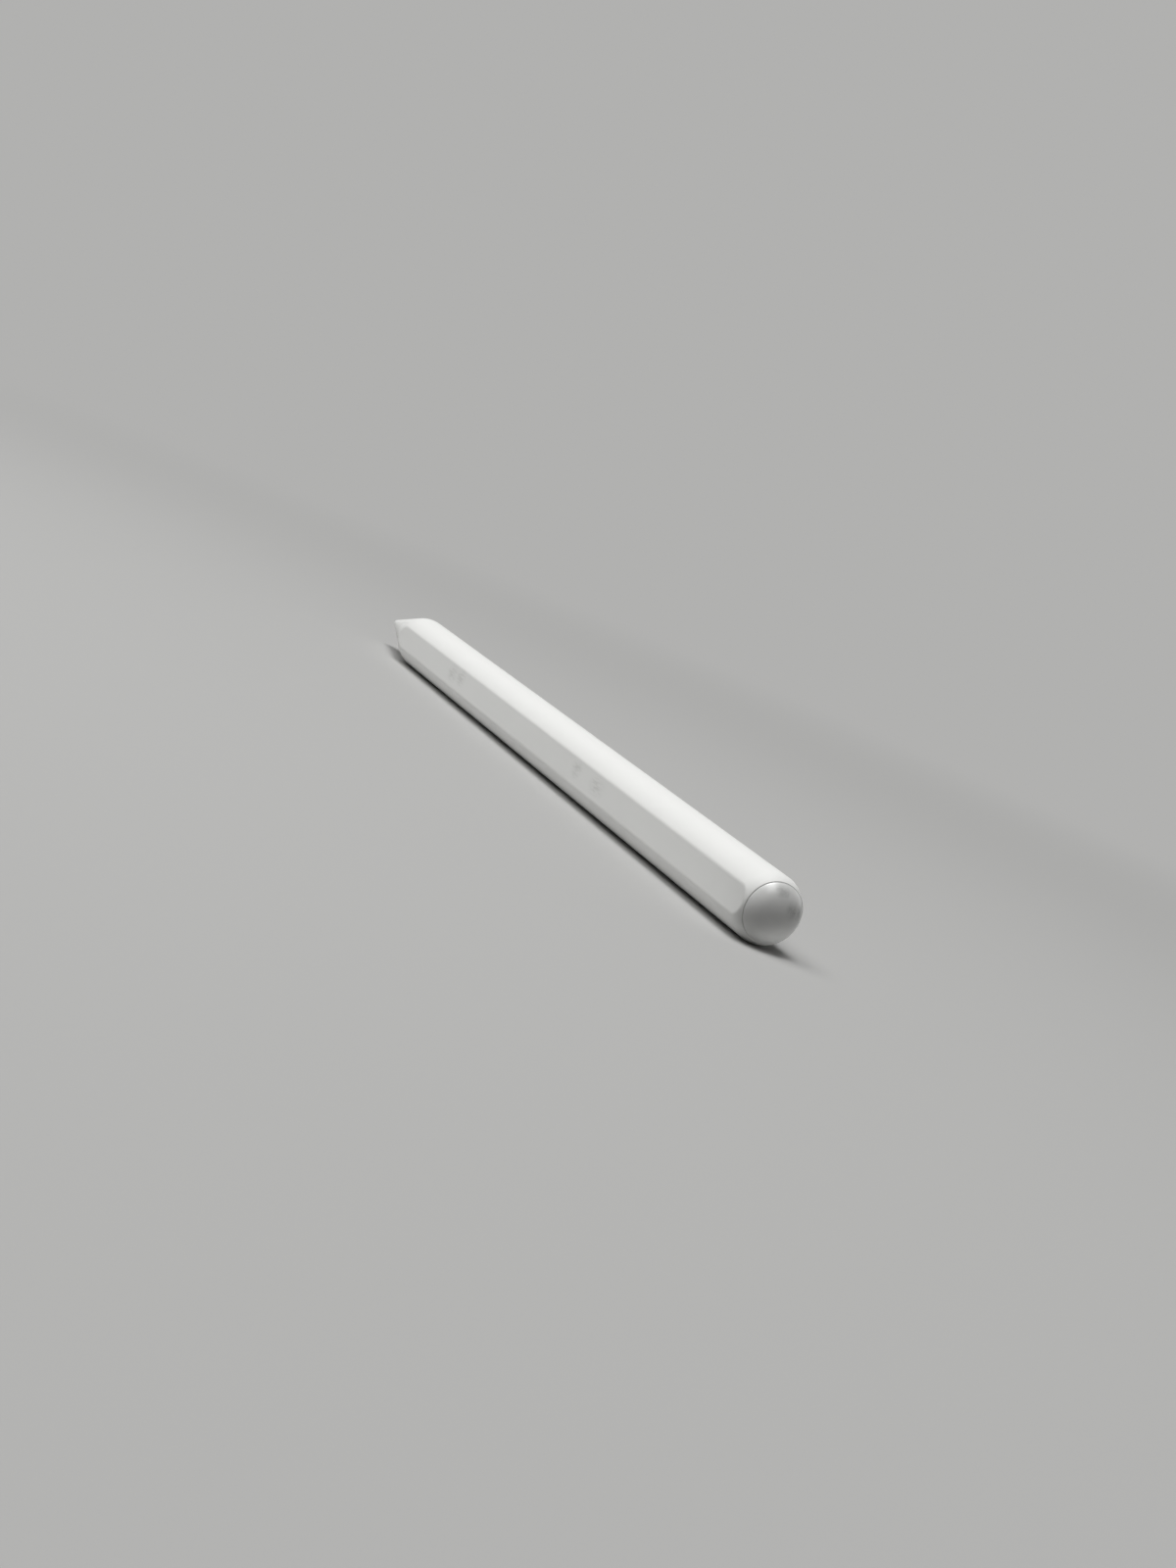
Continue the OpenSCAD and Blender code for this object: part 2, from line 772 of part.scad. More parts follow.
// Metal cover over the lower side of the board
module shield_can() {
    color("lightgray")
        difference() {
            block(x_shield, shield_len, board_y - shield_h, shield_h, shield_half_w);
            block(
                x_shield + shield_wall, shield_len - 2 * shield_wall,
                board_y - shield_h + shield_wall, shield_h, shield_half_w - shield_wall
            );
        }
}

// Connectors of the front and rear ribbons
module flex_connectors() {
    color("ivory")
        for (x = [x_board, x_rear_connector])
            block(x, connector_len, board_top, connector_h, connector_half_w);
}

// Strain pads on the inside of the flat
module squeeze_sensors() {
    color("saddlebrown")
        for (i = [0, 1])
            block(x_pads + i * (pad_len + pad_spacing), pad_len, -flat_in, pad_t, pad_half_w);
}

// Ribbon along the pads that rises through the chassis floor to the board
module squeeze_flex() {
    flex_y = pad_t - flat_in;
    color("darkorange")
        union() {
            block(x_riser, x_pads_back - x_riser, flex_y, flex_t, flex_half_w);
            block(x_riser, flex_t, flex_y, board_y - flex_y, flex_half_w);
        }
}

// Outline with round ends in the plane of the flat
module racetrack(length, half_w) {
    straight = length / 2 - half_w;
    union() {
        square([2 * straight, 2 * half_w], center = true);
        for (s = [-1, 1])
            translate([s * straight, 0])
                circle(r = half_w);
    }
}

// Flat induction coil behind the flat
module charging_coil() {
    color("chocolate")
        translate([x_coil + coil_len / 2, coil_y + coil_t, pen_r])
            rotate([90, 0, 0])
                linear_extrude(coil_t)
                    difference() {
                        racetrack(coil_len, coil_half_w);
                        racetrack(coil_len - 2 * coil_band, coil_half_w - coil_band);
                    }
}

// Ferrite sheet between the coil and the chassis
module ferrite_plate() {
    color("dimgray")
        block(x_coil, coil_len, ferrite_y, ferrite_t, coil_half_w);
}

// Row of magnets along the flat
module magnet_line(x) {
    color("lightsteelblue")
        for (i = [0:magnet_count - 1])
            block(x + i * (magnet_len + magnet_gap), magnet_len, coil_y, magnet_t, coil_half_w);
}

module front_magnets() {
    magnet_line(x_front_magnets);
}

module rear_magnets() {
    magnet_line(x_rear_magnets);
}

// Steel strips between the magnets and the chassis
module magnet_yokes() {
    color("slategray")
        for (x = [x_front_magnets, x_rear_magnets])
            block(x, magnet_row, coil_y + magnet_t, yoke_t, coil_half_w);
}

// Round rechargeable cell
module battery_cell() {
    start = x_battery_bay + insulator_t;
    color("lightblue")
        rod(start, x_battery_end - insulator_t - start, battery_r, battery_y);
}

// Discs at the ends of the cell
module battery_insulators() {
    color("tan")
        for (x = [x_battery_bay, x_battery_end - insulator_t])
            rod(x, insulator_t, battery_r, battery_y);
}

// Groove over the haptic unit for the rear ribbon
module ribbon_groove() {
    block(x_haptic - overrun, haptic_len + 2 * overrun, groove_y, pen_r, groove_half_w);
}

// Body of the haptic unit, with a seat for the front spring
module haptic_housing() {
    color("silver")
        difference() {
            bore_plug(x_haptic, x_cover - x_haptic, bore_gap);
            rod(x_haptic + haptic_wall, haptic_len, seat_in_r);
            rod(x_front_spring, haptic_len, haptic_bore_r);
            ribbon_groove();
        }
}

// Cover of the haptic unit, with a seat for the rear spring
module haptic_cover() {
    color("silver")
        difference() {
            union() {
                bore_plug(x_cover, haptic_wall, bore_gap);
                rod(x_cover - spring_seat, spring_seat + sink, spring_r);
            }
            rod(x_cover - spring_seat - overrun, spring_seat + overrun, seat_in_r);
            ribbon_groove();
        }
}

// Fixed coil of the haptic unit
module haptic_coil() {
    color("chocolate")
        difference() {
            rod(x_haptic_mid - haptic_coil_len / 2, haptic_coil_len, haptic_coil_r);
            rod(x_haptic_mid - haptic_coil_len, 2 * haptic_coil_len, haptic_coil_in_r);
        }
}

// Two weights with the stubs that meet the springs
module haptic_mass() {
    color("dimgray")
        for (s = [0, 1])
            translate([x_haptic_mid, 0, 0])
                mirror([s, 0, 0]) {
                    rod(haptic_magnet_len / 2, weight_len, weight_r);
                    rod(haptic_magnet_len / 2 + weight_len - sink, stub_len + sink, stub_r);
                }
}

// Magnet between the weights
module haptic_magnets() {
    color("lightsteelblue")
        rod(x_haptic_mid - haptic_magnet_len / 2, haptic_magnet_len, haptic_magnet_r);
}

module haptic_spring_front() {
    color("lightgray")
        spring_disc(x_front_spring, spring_t, spring_r, spring_slot_r);
}

module haptic_spring_rear() {
    color("lightgray")
        spring_disc(x_rear_spring, spring_t, spring_r, spring_slot_r);
}

// Hollow carrier between the haptic unit and the end cap, with a level top
module antenna_carrier() {
    color("dimgray")
        difference() {
            bore_plug(x_carrier, carrier_len, bore_gap);
            rod(x_carrier - overrun, carrier_len + 2 * overrun, carrier_bore_r);
            block(x_carrier - overrun, carrier_len + 2 * overrun, ribbon_y, pen_r, pen_r);
        }
}

// Folded strip antenna on the carrier
module antenna() {
    step = antenna_len / (antenna_slots + 1);
    color("gold")
        difference() {
            block(x_antenna, antenna_len, ribbon_y, antenna_t, antenna_half_w);
            for (i = [1:antenna_slots])
                translate([x_antenna + i * step, ribbon_y - overrun, pen_r])
                    mirror([0, 0, i % 2])
                        translate([-antenna_slot / 2, 0, -antenna_half_w / 2])
                            cube([antenna_slot, 2 * overrun + antenna_t, 2 * antenna_half_w]);
        }
}

// Ribbon from the board over the battery and the haptic unit to the antenna
module rear_flex() {
    path = [
        [x_board_back, tip_flex_y],
        [x_board_back + board_end_gap / 2, tip_flex_y],
        [x_battery_bay - flex_gap, ribbon_y],
        [x_antenna, ribbon_y]
    ];
    back = [for (i = [len(path) - 1:-1:0]) path[i] + [0, flex_t]];
    color("darkorange")
        translate([0, 0, pen_r - flex_half_w])
            linear_extrude(2 * flex_half_w)
                polygon(concat(path, back));
}

barrel();
end_cap();
nib();
nib_thread_insert();
nib_electrode();
tip_post();
post_collar();
guide_bush();
tilt_electrode();
sensor_housing();
flexure_ring();
force_flexure();
force_sensor();
tip_flex();
chassis();
main_board();
board_chips();
shield_can();
flex_connectors();
squeeze_sensors();
squeeze_flex();
charging_coil();
ferrite_plate();
front_magnets();
rear_magnets();
magnet_yokes();
battery_cell();
battery_insulators();
haptic_housing();
haptic_cover();
haptic_coil();
haptic_mass();
haptic_magnets();
haptic_spring_front();
haptic_spring_rear();
antenna_carrier();
antenna();
rear_flex();
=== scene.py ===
"""Finish of the white tablet stylus: its shell, its materials, the studio and the camera, in metres."""
import json
import math

import bpy
import numpy as np
from mathutils import Matrix, Vector


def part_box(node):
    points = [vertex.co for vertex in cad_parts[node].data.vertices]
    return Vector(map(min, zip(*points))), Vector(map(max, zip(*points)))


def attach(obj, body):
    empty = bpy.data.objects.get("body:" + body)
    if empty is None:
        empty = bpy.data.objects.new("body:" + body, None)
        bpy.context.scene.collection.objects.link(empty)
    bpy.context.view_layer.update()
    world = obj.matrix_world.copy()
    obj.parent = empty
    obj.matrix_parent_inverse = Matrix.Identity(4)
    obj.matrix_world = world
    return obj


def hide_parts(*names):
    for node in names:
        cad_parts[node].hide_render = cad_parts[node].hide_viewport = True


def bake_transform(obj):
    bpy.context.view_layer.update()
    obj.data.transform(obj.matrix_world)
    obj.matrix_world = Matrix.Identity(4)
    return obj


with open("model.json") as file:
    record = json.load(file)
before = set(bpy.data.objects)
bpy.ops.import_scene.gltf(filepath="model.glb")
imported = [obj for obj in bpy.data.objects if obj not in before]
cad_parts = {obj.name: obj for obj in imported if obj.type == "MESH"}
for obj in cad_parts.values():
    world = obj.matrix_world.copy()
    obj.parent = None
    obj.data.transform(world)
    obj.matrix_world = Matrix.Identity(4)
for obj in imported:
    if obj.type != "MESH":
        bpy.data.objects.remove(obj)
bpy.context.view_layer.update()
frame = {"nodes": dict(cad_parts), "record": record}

MM = 0.001

# Places along the pen and sizes that the frame gives
MOUNTS = {mount["name"]: mount for mount in frame["record"]["mounts"]}
PEN_R = MOUNTS["barrel_grip"]["dims"]["r_mm"] * MM
AXIS_Z = MOUNTS["barrel_grip"]["pos_m"][2]
FLAT_OUT = -MOUNTS["charging_face"]["pos_m"][1]
POINT_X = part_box("nib")[0][0]
NIB_BACK_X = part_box("nib")[1][0]
MOUTH_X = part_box("barrel")[0][0]
RIM_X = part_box("barrel")[1][0]
SPIGOT_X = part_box("end_cap")[0][0]
POLE_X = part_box("end_cap")[1][0]
BUSH_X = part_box("guide_bush")[0][0]
INSERT_FRONT_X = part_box("nib_thread_insert")[0][0]
INSERT_BACK_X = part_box("nib_thread_insert")[1][0]
ELECTRODE_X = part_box("nib_electrode")[0][0]
ELECTRODE_BACK_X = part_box("nib_electrode")[1][0]

# Shape of the shell
NOSE_ANGLE = math.radians(12.75)
POINT_R = 0.6 * MM
NOSE_BLEND_R = 12.5 * MM
NOSE_WALL = 0.9 * MM
WALL = 1.1 * MM
MOUTH_R = 1.75 * MM
CORNER_R = 3.5 * MM
CROWN_R = 6.5 * MM
SEAM_GAP = 0.08 * MM
SPIGOT_GAP = 0.04 * MM
FLANGE_BORE_R = 2.22 * MM
FLANGE_DEPTH = 0.62 * MM
INSERT_BORE_R = 1.52 * MM
HEAD_BORE_R = 1.25 * MM
ROD_BORE_R = 0.5 * MM
HEAD_DEPTH = 0.3 * MM
BORE_END_GAP = 0.05 * MM
INSERT_END_GAP = 0.02 * MM

# Rounding of the moulded edges, and the width over which the flat turns into the round
EDGE_REACH = 0.06 * MM
FLANGE_EDGE = EDGE_REACH / 2
SPIGOT_LEAD = SPIGOT_GAP * 4
FLAT_BLEND = 0.1 * MM
SHARP_ANGLE = math.radians(40)

# Distance from the axis of a flat that cuts nothing, and the least cosine at which a flat can cut a ring
NO_FLAT = 1.0
LEAST_FACING = 0.2

# Angles round the axis, counted from the middle of the flat: close together on the flat and its edges
FLAT_SPAN = math.radians(30)
FLAT_STEPS = 72
ROUND_STEPS = 132

# Points along each stretch of an outline
EDGE_STEPS = 6
NOSE_STEPS = 28
NOSE_BLEND_STEPS = 40
STRAIGHT_STEPS = 60
SHOULDER_STEPS = 48
CROWN_STEPS = 40
POINT_STEPS = 28
NIB_STEPS = 40
BORE_STEPS = 12
BORE_END_STEPS = 4
LEDGE_STEPS = 3

# Camera, measured from the long edges of the pen in a picture of 1200 by 1600
CAMERA_PLACE = Vector((295.81, -127.54, 42.40)) * MM
CAMERA_AIM = Vector((16.98, 1.87, 2.31)) * MM
CAMERA_ROLL = math.radians(22.71)
CAMERA_LENS = 49.95
SENSOR = 36.0
CLIP_START = 0.01
CLIP_END = 20.0

PEN_BODY = "pen_body"
NIB_BODY = "nib_screw"

# Spring discs: the body that pushes each hub, the radius of what pushes it, the width of the clamped rim
SPRINGS = {
    "force_flexure": ("tip", 1.0 * MM, 0.5 * MM),
    "haptic_spring_front": ("haptic_mover", 0.6 * MM, 0.25 * MM),
    "haptic_spring_rear": ("haptic_mover", 0.6 * MM, 0.25 * MM),
}
SPRING_ARMS = 3
SLOT_W = 0.2 * MM
SLOT_ANGLE = math.radians(95)
FIRST_ARM = math.radians(162.5)
ARM_GAP = 0.005 * MM
ARM_STEPS = 12
SPRING_EDGE = 0.02 * MM


def arc(centre_x, centre_r, radius, start, end, count):
    """Outline points on a circle: x = centre + radius sin a, r = centre + radius cos a, from start to end."""
    a = np.linspace(start, end, count)
    return np.column_stack([centre_x + radius * np.sin(a), centre_r + radius * np.cos(a)])


def straight(start, end, count):
    """Outline points evenly spaced on the line from start to end, both included."""
    t = np.linspace(0, 1, count)[:, None]
    return (1 - t) * np.array(start) + t * np.array(end)


def eased(before, corner, after, reach=EDGE_REACH):
    """Rounded corner: the parabola with the two sides as tangents, from one reach before it to one after."""
    corner = np.array(corner)
    back = np.array(before) - corner
    onward = np.array(after) - corner
    a = corner + back / np.linalg.norm(back) * reach
    b = corner + onward / np.linalg.norm(onward) * reach
    t = np.linspace(0, 1, EDGE_STEPS)[:, None]
    return (1 - t) ** 2 * a + 2 * t * (1 - t) * corner + t ** 2 * b


def with_flat(outline, distance):
    """Outline with a third column: the distance from the axis at which the flat cuts it."""
    return np.column_stack([outline, np.full(len(outline), distance)])


def soft_min(a, b, width):
    """The smaller of two lengths, with a parabola for the corner where they differ by less than width."""
    h = np.clip(1 - np.abs(a - b) / width, 0, 1)
    return np.minimum(a, b) - h * h * width / 4


def ring_angles():
    """Angles of one turn, counted from the flat's middle: fine steps on the flat, even steps elsewhere."""
    fine = np.linspace(-FLAT_SPAN, FLAT_SPAN, FLAT_STEPS, endpoint=False)
    rest = np.linspace(FLAT_SPAN, 2 * math.pi - FLAT_SPAN, ROUND_STEPS, endpoint=False)
    return np.concatenate([fine, rest])


def lathe_points(outline, angles):
    """Grid of points: each outline point is turned about the axis, its radius cut by the flat.

    The radius at angle a is the soft minimum of r and flat / cos a, and the point is
    (x, -radius cos a, axis height + radius sin a).
    """
    x, r, flat = (outline[:, i:i + 1] for i in range(3))
    facing = np.cos(angles)[None, :]
    cut = np.where(facing > LEAST_FACING, flat / np.maximum(facing, LEAST_FACING), NO_FLAT)
    radius = soft_min(r, cut, FLAT_BLEND)
    return np.stack([
        np.broadcast_to(x, radius.shape),
        -radius * facing,
        AXIS_Z + radius * np.sin(angles)[None, :],
    ], axis=-1)


def strip_faces(rows, across):
    """Four-sided faces between neighbouring rows and columns of a grid whose columns close into a ring."""
    number = np.arange(rows * across).reshape(rows, across)
    here, above = number[:-1], number[1:]
    return np.stack([here, np.roll(here, -1, 1), np.roll(above, -1, 1), above], axis=-1).reshape(-1, 4)


def fan_faces(ring, pole):
    """Three-sided faces from each edge of a ring of point numbers to the pole."""
    return np.column_stack([ring, np.full(len(ring), pole), np.roll(ring, -1)])


def signed_volume(points, faces):
    """Six times the volume inside the faces, from four corners of each, positive if they point outwards."""
    corners = points[np.array([face[:3] for face in faces])]
    total = np.einsum("ij,ij->", corners[:, 0], np.cross(corners[:, 1], corners[:, 2]))
    fourth = points[np.array([[face[0], face[2], face[-1]] for face in faces])]
    return total + np.einsum("ij,ij->", fourth[:, 0], np.cross(fourth[:, 1], fourth[:, 2]))


def mesh_piece(name, points, faces, material, slot, node):
    """Mesh object with outward faces and a finish that stands for a node of the frame."""
    if signed_volume(points, faces) < 0:
        faces = [face[::-1] for face in faces]
    mesh = bpy.data.meshes.new(name)
    mesh.from_pydata(points.tolist(), [], faces)
    mesh.polygons.foreach_set("use_smooth", np.ones(len(faces), dtype=bool))
    mesh.set_sharp_from_angle(angle=SHARP_ANGLE)
    mesh.materials.append(material)
    piece = bpy.data.objects.new(name, mesh)
    bpy.context.scene.collection.objects.link(piece)
    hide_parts(node)
    return piece


def turned_ring(outline):
    """Points and faces of a closed outline turned about the axis, like a tube's wall."""
    angles = ring_angles()
    grid = lathe_points(np.vstack([outline, outline[:1]]), angles)
    rows, across = grid.shape[:2]
    faces = strip_faces(rows, across)
    points = grid[:-1].reshape(-1, 3)
    return points, (faces % len(points)).tolist()


def turned_solid(outline):
    """Points and faces of an open outline turned about the axis, closed at both ends by a pole on it."""
    grid = lathe_points(outline[1:-1], ring_angles())
    rows, across = grid.shape[:2]
    poles = np.column_stack([outline[[0, -1], 0], np.zeros(2), np.full(2, AXIS_Z)])
    points = np.vstack([grid.reshape(-1, 3), poles])
    first = np.arange(across)
    last = first + (rows - 1) * across
    faces = strip_faces(rows, across).tolist()
    faces += fan_faces(first, rows * across).tolist()
    faces += fan_faces(last, rows * across + 1)[:, ::-1].tolist()
    return points, faces


def carried_arc(outline, angles):
    """Points and faces of a closed outline carried along an arc about the axis, closed at both ends."""
    grid = lathe_points(outline, angles).transpose(1, 0, 2)
    steps, across = grid.shape[:2]
    faces = strip_faces(steps, across).tolist()
    first = np.arange(across)
    faces += [first[::-1].tolist(), (first + (steps - 1) * across).tolist()]
    return grid.reshape(-1, 3), faces


def ring_outline(x0, x1, r0, r1):
    """Closed outline of a flat ring: a rectangle with eased corners."""
    corners = [(x0, r0), (x0, r1), (x1, r1), (x1, r0)]
    turns = [eased(corners[i - 1], corners[i], corners[(i + 1) % 4], SPRING_EDGE) for i in range(4)]
    return with_flat(np.vstack(turns), NO_FLAT)


def spring_disc(node, body, push_r, rim_w, material):
    """Spring disc: a rim that stays, a hub that goes with the body, and arms between them that stay where
    they are built.

    The slot starts midway between what pushes the hub and the clamped rim. The arms cross it at even angles,
    and each is as long as the slots leave it of its share of the turn.
    """
    low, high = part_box(node)
    x0, x1, rim_r = low[0], high[0], high[2] - AXIS_Z
    slot_r = (push_r + rim_r - rim_w) / 2
    slot_out = slot_r + SLOT_W
    hub_outline = with_flat(np.vstack([
        (x0, 0),
        eased((x0, 0), (x0, slot_r), (x1, slot_r), SPRING_EDGE),
        eased((x0, slot_r), (x1, slot_r), (x1, 0), SPRING_EDGE),
        (x1, 0),
    ]), NO_FLAT)
    rim_outline = ring_outline(x0, x1, slot_out, rim_r)
    arm_outline = ring_outline(x0, x1, slot_r + ARM_GAP, slot_out - ARM_GAP)
    hub = mesh_piece(f"{node}_hub", *turned_solid(hub_outline), material, "steel", node)
    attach(hub, body)
    rim = mesh_piece(f"{node}_rim", *turned_ring(rim_outline), material, "steel", node)
    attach(rim, PEN_BODY)
    half = math.pi / SPRING_ARMS - SLOT_ANGLE / 2
    for i in range(SPRING_ARMS):
        middle = FIRST_ARM - 2 * math.pi * i / SPRING_ARMS
        angles = np.linspace(middle - half, middle + half, ARM_STEPS)
        arm = mesh_piece(f"{node}_arm_{i + 1}", *carried_arc(arm_outline, angles), material, "steel", node)
        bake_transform(arm)


# Places that follow from the shape
TAPER = math.tan(NOSE_ANGLE)
CONE_X = POINT_X + POINT_R * (1 - math.sin(NOSE_ANGLE))
CONE_R = POINT_R * math.cos(NOSE_ANGLE)
BLEND_R = PEN_R - NOSE_BLEND_R * (1 - math.cos(NOSE_ANGLE))
STRAIGHT_X = CONE_X + (BLEND_R - CONE_R) / TAPER + NOSE_BLEND_R * math.sin(NOSE_ANGLE)
BORE_R = PEN_R - WALL
FLAT_IN = FLAT_OUT - WALL
NOSE_WALL_RADIAL = NOSE_WALL / math.cos(NOSE_ANGLE)
FULL_BORE_X = CONE_X + (BORE_R + NOSE_WALL_RADIAL - CONE_R) / TAPER
SEAM_X = RIM_X + SEAM_GAP
CROWN_X = POLE_X - CROWN_R
CORNER_X = CROWN_X + math.sqrt((CROWN_R - CORNER_R) ** 2 - (PEN_R - CORNER_R) ** 2)
CROWN_ANGLE = math.atan2(CORNER_X - CROWN_X, PEN_R - CORNER_R)


def cone_r(x):
    """Radius of the tapered nose at x."""
    return CONE_R + (x - CONE_X) * TAPER


def corner_angle(x):
    """Angle on the rounded rear shoulder at which it reaches x."""
    return math.asin((x - CORNER_X) / CORNER_R)


def corner_r(x):
    """Radius of the rounded rear shoulder at x."""
    return PEN_R - CORNER_R + CORNER_R * math.cos(corner_angle(x))


def barrel_shape():
    """Barrel wall: nose taper, blend arc, straight, shoulder arc and rim outside, stepped bore inside."""
    mouth_edge = (MOUTH_X, cone_r(MOUTH_X))
    mouth_in = (MOUTH_X, MOUTH_R)
    blend_start = (STRAIGHT_X - NOSE_BLEND_R * math.sin(NOSE_ANGLE), BLEND_R)
    rim_edge = (RIM_X, corner_r(RIM_X))
    rim_in = (RIM_X, BORE_R)
    rim_before = (RIM_X - EDGE_REACH, corner_r(RIM_X - EDGE_REACH))
    step_out = (BUSH_X, cone_r(BUSH_X) - NOSE_WALL_RADIAL)
    step_in = (BUSH_X, MOUTH_R)
    bore_front = (FULL_BORE_X, BORE_R)
    mouth_round = eased(mouth_in, mouth_edge, blend_start)
    rim_round = eased(rim_before, rim_edge, rim_in)
    shoulder_end = corner_angle(rim_round[0, 0])
    outside = np.vstack([
        mouth_round,
        straight(mouth_round[-1], blend_start, NOSE_STEPS)[1:],
        arc(STRAIGHT_X, PEN_R - NOSE_BLEND_R, NOSE_BLEND_R, -NOSE_ANGLE, 0, NOSE_BLEND_STEPS)[1:],
        straight((STRAIGHT_X, PEN_R), (CORNER_X, PEN_R), STRAIGHT_STEPS)[1:],
        arc(CORNER_X, PEN_R - CORNER_R, CORNER_R, 0, shoulder_end, SHOULDER_STEPS)[1:-1],
        rim_round,
    ])
    inside = np.vstack([
        eased(rim_edge, rim_in, bore_front),
        straight(bore_front, step_out, BORE_STEPS),
        straight(step_out, step_in, BORE_END_STEPS)[1:],
        eased(step_in, mouth_in, mouth_edge),
    ])
    return turned_ring(np.vstack([with_flat(outside, FLAT_OUT), with_flat(inside, FLAT_IN)]))


def end_cap_shape():
    """End cap: crown arc, corner arc and rounded seam edge, then the underside and the D-shaped spigot."""
    seam_edge = (SEAM_X, corner_r(SEAM_X))
    seam_after = (SEAM_X + EDGE_REACH, corner_r(SEAM_X + EDGE_REACH))
    spigot_r = BORE_R - SPIGOT_GAP
    spigot_root = (SEAM_X, spigot_r)
    spigot_end = (SPIGOT_X, spigot_r)
    seam_round = eased(seam_after, seam_edge, spigot_root)
    shoulder_end = corner_angle(seam_round[0, 0])
    dome = np.vstack([
        arc(CROWN_X, 0, CROWN_R, math.pi / 2, CROWN_ANGLE, CROWN_STEPS),
        arc(CORNER_X, PEN_R - CORNER_R, CORNER_R, CROWN_ANGLE, shoulder_end, SHOULDER_STEPS)[1:-1],
        seam_round,
    ])
    dome[0, 1] = 0
    spigot = np.vstack([
        eased(seam_edge, spigot_root, spigot_end, SPIGOT_GAP),
        eased(spigot_root, spigot_end, (SPIGOT_X, 0), SPIGOT_LEAD),
        (SPIGOT_X, 0),
    ])
    return turned_solid(np.vstack([with_flat(dome, FLAT_OUT), with_flat(spigot, FLAT_IN - SPIGOT_GAP)]))


def nib_shape():
    """Nib: rounded point, cone and rounded rear edge outside, and the stepped blind bore inside."""
    rear_edge = (NIB_BACK_X, cone_r(NIB_BACK_X))
    flange_mouth = (NIB_BACK_X, FLANGE_BORE_R)
    flange_x = INSERT_BACK_X - FLANGE_DEPTH
    head_x = INSERT_FRONT_X - INSERT_END_GAP
    rod_x = ELECTRODE_BACK_X - HEAD_DEPTH
    bore_x = ELECTRODE_X - BORE_END_GAP
    rear_round = eased((CONE_X, CONE_R), rear_edge, flange_mouth)
    outline = np.vstack([
        arc(POINT_X + POINT_R, 0, POINT_R, -math.pi / 2, -NOSE_ANGLE, POINT_STEPS),
        straight((CONE_X, CONE_R), rear_round[0], NIB_STEPS)[1:-1],
        rear_round,
        eased(rear_edge, flange_mouth, (flange_x, FLANGE_BORE_R), FLANGE_EDGE),
        straight((flange_x, FLANGE_BORE_R), (flange_x, INSERT_BORE_R), LEDGE_STEPS),
        straight((head_x, INSERT_BORE_R), (head_x, HEAD_BORE_R), LEDGE_STEPS),
        straight((rod_x, HEAD_BORE_R), (rod_x, ROD_BORE_R), LEDGE_STEPS),
        straight((bore_x, ROD_BORE_R), (bore_x, 0), BORE_END_STEPS),
    ])
    outline[0, 1] = 0
    return turned_solid(with_flat(outline, NO_FLAT))


def made(tree, kind, inputs=None, **settings):
    """Node of a kind with its settings and inputs, where an input may be a value or another node's socket."""
    node = tree.nodes.new(kind)
    for key, value in settings.items():
        setattr(node, key, value)
    for key, value in (inputs or {}).items():
        if isinstance(value, bpy.types.NodeSocket):
            tree.links.new(value, node.inputs[key])
        else:
            node.inputs[key].default_value = value
    return node


def plain_material(name, metallic=0.0, **sockets):
    """Material with one Principled shader, and the part's own coordinates as a socket."""
    material = bpy.data.materials.new(name)
    material.use_nodes = True
    tree = material.node_tree
    shader = tree.nodes["Principled BSDF"]
    shader.inputs["Metallic"].default_value = metallic
    for key, value in sockets.items():
        shader.inputs[key.replace("_", " ")].default_value = value
    place = made(tree, "ShaderNodeTexCoord").outputs["Object"]
    return material, tree, shader, place


# Values of noise: the range that most of them lie in, the range that nearly all lie in, and their mean
MOST = (0.35, 0.65)
NEARLY_ALL = (0.3, 0.7)
NOISE_MEAN = (0.5, 0.5, 0.5)


def noise(tree, place, size, stretch=(1, 1, 1), detail=3.0, offset=(0, 0, 0)):
    """Noise whose grains are about size metres, longer along an axis by the stretch."""
    scale = tuple(1 / (size * s) for s in stretch)
    moved = made(tree, "ShaderNodeMapping", {"Vector": place, "Location": offset, "Scale": scale})
    inputs = {"Vector": moved.outputs[0], "Scale": 1.0, "Detail": detail}
    return made(tree, "ShaderNodeTexNoise", inputs).outputs["Fac"]


def ramp(tree, value, low, high, start=0.0, end=1.0):
    """Value between low and high carried to the range from start to end, smoothly, and held outside it."""
    return made(tree, "ShaderNodeMapRange", {
        "Value": value, "From Min": low, "From Max": high, "To Min": start, "To Max": end,
    }, interpolation_type="SMOOTHSTEP").outputs["Result"]


def combined(tree, operation, a, b):
    """Two values combined by an operation such as MULTIPLY or MAXIMUM."""
    return made(tree, "ShaderNodeMath", {0: a, 1: b}, operation=operation).outputs[0]


def blended(tree, amount, first, second):
    """Colour between first and second by amount."""
    mix = made(tree, "ShaderNodeMix", data_type="RGBA")
    tree.links.new(amount, mix.inputs["Factor"])
    for socket, value in (("A", first), ("B", second)):
        target = [i for i in mix.inputs if i.name == socket and i.type == "RGBA"][0]
        if isinstance(value, bpy.types.NodeSocket):
            tree.links.new(value, target)
        else:
            target.default_value = (*value, 1)
    return [o for o in mix.outputs if o.type == "RGBA"][0]


def spot(tree, place, centre, reach):
    """Soft spot: 1 at the centre, falling in a straight line to 0 on an ellipsoid with the given reach."""
    inputs = {"Vector": place, "Location": centre, "Scale": reach}
    moved = made(tree, "ShaderNodeMapping", inputs, vector_type="TEXTURE").outputs[0]
    return made(tree, "ShaderNodeTexGradient", {"Vector": moved}, gradient_type="SPHERICAL").outputs["Fac"]


def spots(tree, place, marks):
    """Largest of several soft spots, given as pairs of centre and reach in millimetres from the axis."""
    total = None
    for centre, reach in marks:
        where = Vector(centre) * MM + Vector((0, 0, AXIS_Z))
        one = spot(tree, place, where, Vector(reach) * MM)
        total = one if total is None else combined(tree, "MAXIMUM", total, one)
    return total


